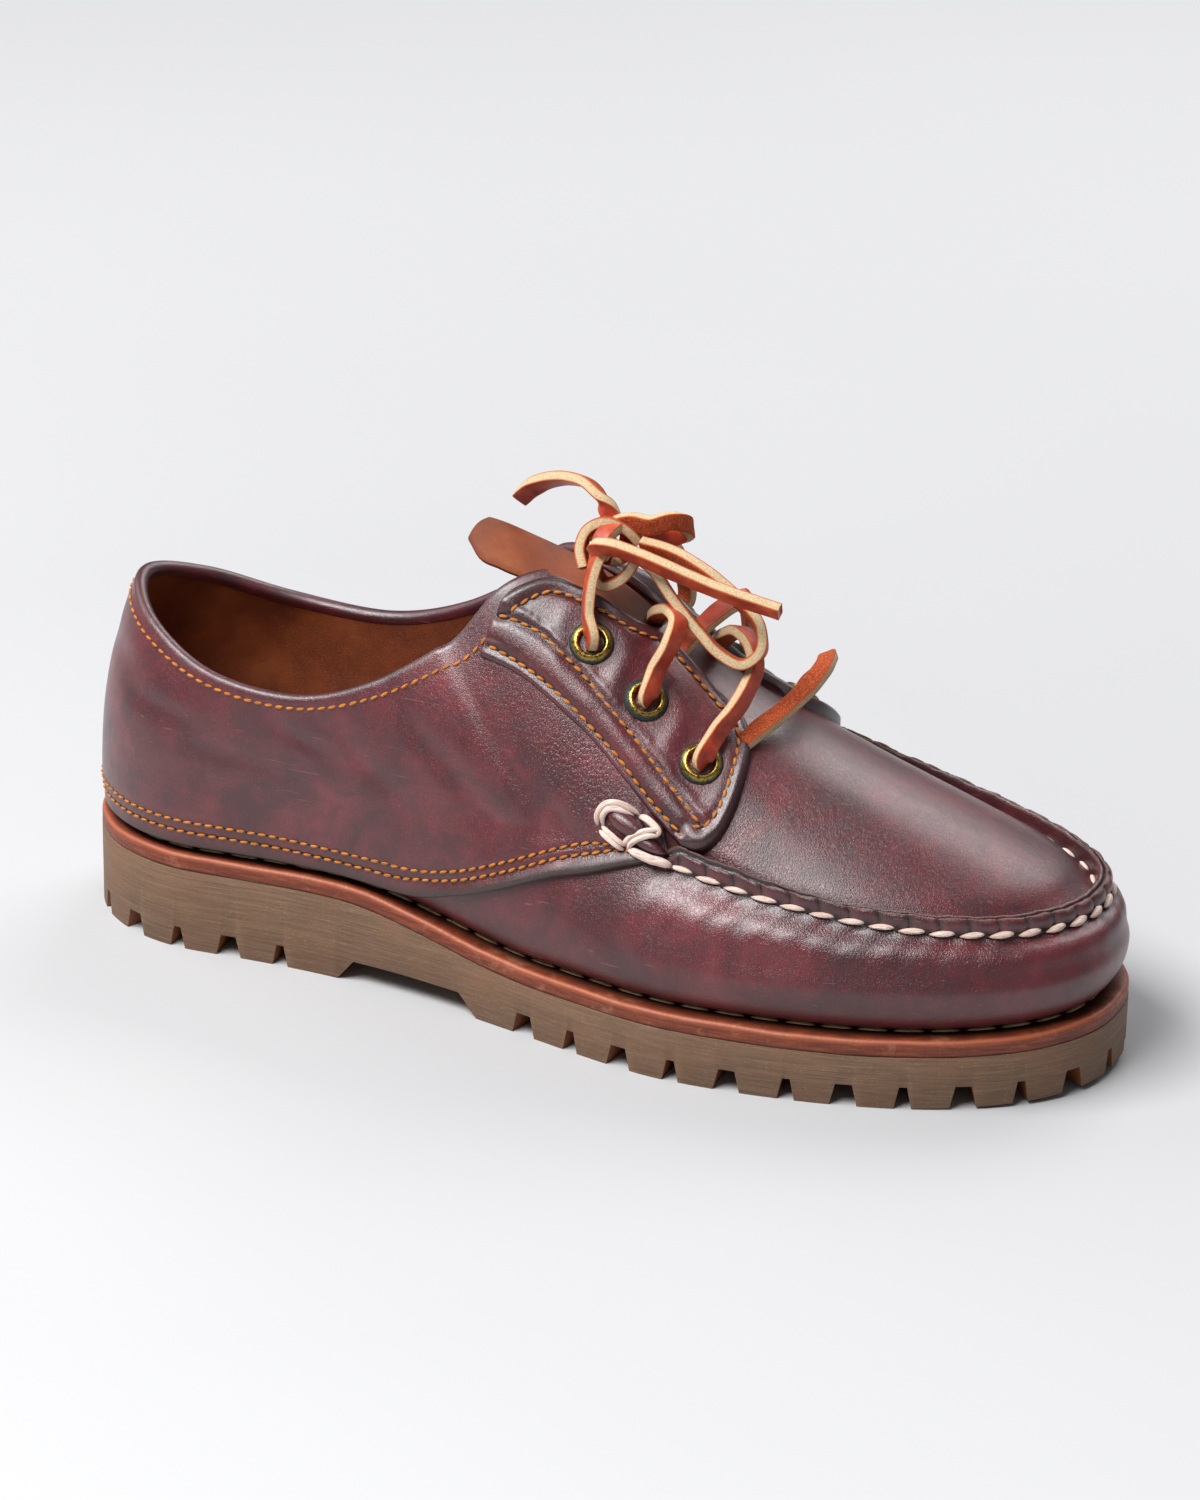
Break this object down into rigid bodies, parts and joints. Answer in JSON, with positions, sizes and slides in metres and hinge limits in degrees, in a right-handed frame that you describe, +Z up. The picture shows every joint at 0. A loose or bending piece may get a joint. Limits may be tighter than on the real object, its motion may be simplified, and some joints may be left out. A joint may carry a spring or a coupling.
{
  "type": "boat shoe",
  "caption": "Right leather boat shoe with hand-sewn moccasin toe, eyelet lacing, tied rawhide lace, leather midsole and rubber lug sole.",
  "frame": {"origin": "middle of the heel's tread on the floor", "axes": "+X towards the toe, +Y towards the inner (medial) side, +Z up; the shoe stands empty on its sole"},
  "size_m": [0.2998, 0.1054, 0.1418],
  "materials": {
    "upper_leather": "polished pull-up burgundy",
    "lining_leather": "matt tan",
    "midsole_leather": "satin red brown",
    "sole_rubber": "matt gum rubber",
    "eyelet_brass": "aged",
    "lace_rawhide": "raw orange hide"
  },
  "bodies": {
    "root": {"outsole": "sole_rubber", "midsole": "midsole_leather", "insole": "lining_leather", "upper": "upper_leather", "quarter": "upper_leather", "eyestay_outer": "upper_leather", "eyestay_inner": "upper_leather", "tongue": "lining_leather", "eyelet_outer_1": "eyelet_brass", "eyelet_outer_2": "eyelet_brass", "eyelet_outer_3": "eyelet_brass", "eyelet_inner_1": "eyelet_brass", "eyelet_inner_2": "eyelet_brass", "eyelet_inner_3": "eyelet_brass", "lace_crossings": "lace_rawhide", "lace_knot": "lace_rawhide", "lace_loop_outer": "lace_rawhide", "lace_loop_inner": "lace_rawhide", "lace_end_outer": "lace_rawhide", "lace_end_inner": "lace_rawhide"}
  },
  "joints": []
}
